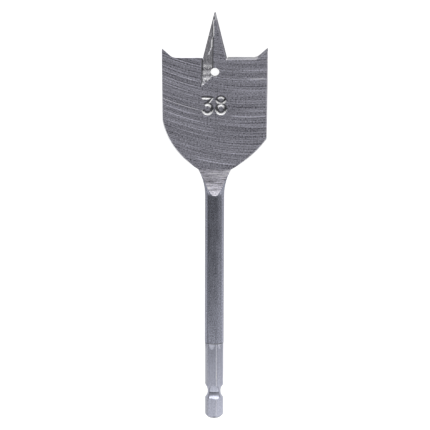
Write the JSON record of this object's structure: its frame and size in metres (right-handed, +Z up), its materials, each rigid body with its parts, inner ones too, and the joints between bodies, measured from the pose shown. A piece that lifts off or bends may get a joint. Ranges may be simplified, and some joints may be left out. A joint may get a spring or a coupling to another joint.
{
  "type": "spade drill bit",
  "caption": "Flat spade drill bit for boring wood, with a fluted centre point, outer spurs, a hanging hole and a grooved hex drive on a round shank.",
  "frame": {"origin": "on the surface that the bit lies on, under the middle of its box", "axes": "+Y along the bit towards its point, +Z up out of the upper blade face, +X to the right across the blade; the bit pitches 1.6 degrees nose down, as it comes to rest"},
  "size_m": [0.038, 0.15, 0.0091],
  "materials": {
    "ground_steel": "ground and brushed, with arc marks across the blade"
  },
  "bodies": {
    "root": {"spade_bit": "ground_steel"}
  },
  "joints": []
}
